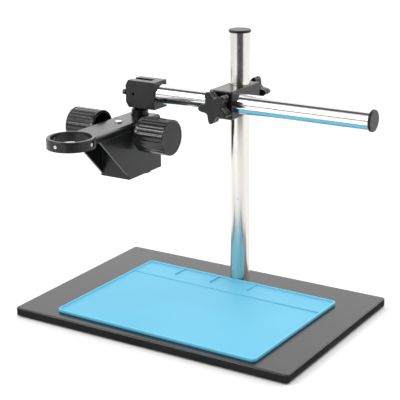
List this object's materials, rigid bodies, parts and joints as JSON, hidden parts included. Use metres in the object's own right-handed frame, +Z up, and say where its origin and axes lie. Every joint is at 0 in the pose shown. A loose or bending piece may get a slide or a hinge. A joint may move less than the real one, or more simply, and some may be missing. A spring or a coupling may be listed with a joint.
{
  "type": "microscope boom stand",
  "caption": "Bench boom stand for a stereo microscope: flat base with a work mat, pillar, sliding arm, and a swivelling focus bracket with a head ring.",
  "frame": {"origin": "on the bench, under the middle of the base plate", "axes": "+X along the front edge of the base towards the arm's capped end, +Y from the front edge to the pillar, +Z up"},
  "size_m": [0.4017, 0.268, 0.3387],
  "materials": {
    "plate_black": "fine textured black powder coat",
    "sheet_black": "plain black rubber",
    "mat_blue": "matt light blue silicone",
    "pillar_steel": "polished stainless, faint streaks along it",
    "arm_chrome": "bright chrome plating",
    "cap_plastic": "satin black plastic",
    "arm_cap_plastic": "black plastic with a turned face",
    "bush_brass": "turned",
    "clamp_black": "black anodised, satin",
    "clevis_black": "black anodised, satin",
    "star_plastic": "moulded black plastic",
    "knob_rubber": "black rubber-coated grip",
    "knob_cap_plastic": "glossy black disc",
    "zinc_steel": "zinc-plated",
    "black_steel": "black oxide",
    "bright_steel": "nickel-plated",
    "pad_brass": "plain",
    "post_black": "black oxide, satin",
    "body_alu": "machined, greased",
    "ring_black": "gloss black anodised",
    "housing_black": "black anodised, satin",
    "rack_brass": "milled teeth",
    "rail_steel": "ground and greased",
    "plug_alu": "turned"
  },
  "bodies": {
    "stand_base": {"base_plate": "plate_black", "base_rubber_sheet": "sheet_black", "silicone_mat": "mat_blue", "pillar_tube": "pillar_steel", "pillar_foot_plug": "plug_alu", "pillar_fixing_screw": "zinc_steel", "pillar_cap": "cap_plastic"},
    "clamp_sleeve": {"pillar_bush": "bush_brass"},
    "clamp": {"clamp_block": "clamp_black"},
    "arm_lock_tip": {"arm_lock_pad": "pad_brass"},
    "arm_lock": {"arm_lock_stud": "zinc_steel", "arm_lock_knob": "star_plastic"},
    "pillar_lock_tip": {"pillar_lock_pad": "pad_brass"},
    "pillar_lock": {"pillar_lock_stud": "zinc_steel", "pillar_lock_knob": "star_plastic"},
    "arm": {"arm_tube": "arm_chrome", "arm_end_cap": "arm_cap_plastic"},
    "clevis": {"clevis_block": "clevis_black", "clevis_pivot_bolt": "black_steel", "clevis_pivot_nut": "black_steel", "pivot_lock_screw": "black_steel", "arm_grub_screw": "black_steel"},
    "post": {"swivel_post": "post_black", "post_washer": "black_steel", "post_end_screw": "zinc_steel"},
    "holder": {"slide_body": "body_alu"},
    "focus_drive": {"pinion_shaft": "rail_steel", "focus_knob_right": "knob_rubber", "focus_knob_left": "knob_rubber", "knob_cap_right": "knob_cap_plastic", "knob_cap_left": "knob_cap_plastic"},
    "bracket": {"ring_arm": "ring_black", "slide_housing": "housing_black", "housing_top_screws": "black_steel", "rack_screw": "bright_steel", "focus_rack": "rack_brass", "slide_rails": "rail_steel"},
    "ring_clamp_front": {"ring_screw_front": "bright_steel"},
    "ring_clamp_right": {"ring_screw_right": "bright_steel"},
    "ring_clamp_left": {"ring_screw_left": "bright_steel"}
  },
  "joints": [
    {"name": "clamp_height", "type": "slide", "parent": "stand_base", "child": "clamp_sleeve", "axis": [0, 0, 1], "range_m": [-0.1, 0.06]},
    {"name": "clamp_swing", "type": "hinge", "parent": "clamp_sleeve", "child": "clamp", "pos_m": [0, 0.095, 0.253], "axis": [0, 0, 1], "continuous": true},
    {"name": "arm_lock_travel", "type": "slide", "parent": "clamp", "child": "arm_lock_tip", "axis": [0, -1, 0], "range_m": [0, 0.00125]},
    {"name": "arm_lock_turn", "type": "hinge", "parent": "arm_lock_tip", "child": "arm_lock", "pos_m": [0, 0.038, 0.253], "axis": [0, -1, 0], "range_deg": [0, 360]},
    {"name": "pillar_lock_travel", "type": "slide", "parent": "clamp", "child": "pillar_lock_tip", "axis": [0, 1, 0], "range_m": [0, 0.00125]},
    {"name": "pillar_lock_turn", "type": "hinge", "parent": "pillar_lock_tip", "child": "pillar_lock", "pos_m": [0, 0.128, 0.253], "axis": [0, 1, 0], "range_deg": [0, 360]},
    {"name": "arm_reach", "type": "slide", "parent": "clamp", "child": "arm", "axis": [1, 0, 0], "range_m": [-0.15, 0.03]},
    {"name": "arm_roll", "type": "hinge", "parent": "arm", "child": "clevis", "pos_m": [-0.12, 0.066, 0.253], "axis": [1, 0, 0], "range_deg": [-15, 15]},
    {"name": "post_tilt", "type": "hinge", "parent": "clevis", "child": "post", "pos_m": [-0.132, 0.066, 0.2515], "axis": [0, 1, 0], "range_deg": [-3, 15]},
    {"name": "holder_swing", "type": "hinge", "parent": "post", "child": "holder", "pos_m": [-0.132, 0.066, 0.19], "axis": [0, 0, 1], "range_deg": [-60, 60]},
    {"name": "focus_turn", "type": "hinge", "parent": "holder", "child": "focus_drive", "pos_m": [-0.132, 0.0275, 0.209], "axis": [1, 0, 0], "range_deg": [-102.32, 0]},
    {"name": "focus_slide", "type": "slide", "parent": "holder", "child": "bracket", "axis": [0, 0, -1], "range_m": [-0.01, 0]},
    {"name": "ring_clamp_front_travel", "type": "slide", "parent": "bracket", "child": "ring_clamp_front", "axis": [0, 1, 0], "range_m": [0, 0.003]},
    {"name": "ring_clamp_right_travel", "type": "slide", "parent": "bracket", "child": "ring_clamp_right", "axis": [-1, 0, 0], "range_m": [0, 0.003]},
    {"name": "ring_clamp_left_travel", "type": "slide", "parent": "bracket", "child": "ring_clamp_left", "axis": [1, 0, 0], "range_m": [0, 0.003]}
  ],
  "couplings": [
    {"joint": "arm_lock_turn", "follows": "arm_lock_travel", "rad_per_m": 5026.5},
    {"joint": "pillar_lock_turn", "follows": "pillar_lock_travel", "rad_per_m": 5026.5},
    {"joint": "focus_turn", "follows": "focus_slide", "rad_per_m": 178.57}
  ]
}
